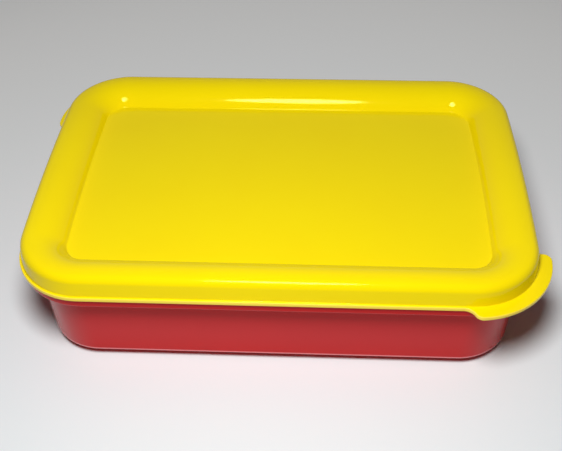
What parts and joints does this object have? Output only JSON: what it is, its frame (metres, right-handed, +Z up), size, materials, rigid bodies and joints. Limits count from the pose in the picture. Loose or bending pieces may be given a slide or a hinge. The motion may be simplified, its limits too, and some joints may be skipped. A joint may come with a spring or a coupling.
{
  "type": "snack box",
  "caption": "Shut reusable plastic snack box: a low rounded tub under a press-on lid with a puffed rim, a sunken panel and corner pull tabs.",
  "frame": {"origin": "middle of the flat foot under the tub, on the ground, midway between the long sides and between the short sides", "axes": "+Z up; +X along the long side, to the right of somebody who faces the long side whose right-hand end has the larger pull tab; +Y away from them"},
  "size_m": [0.1909, 0.1337, 0.0455],
  "materials": {
    "tub": "glossy red moulded plastic",
    "lid": "glossy yellow moulded plastic"
  },
  "bodies": {
    "root": {"tub": "tub", "lid": "lid"}
  },
  "joints": []
}
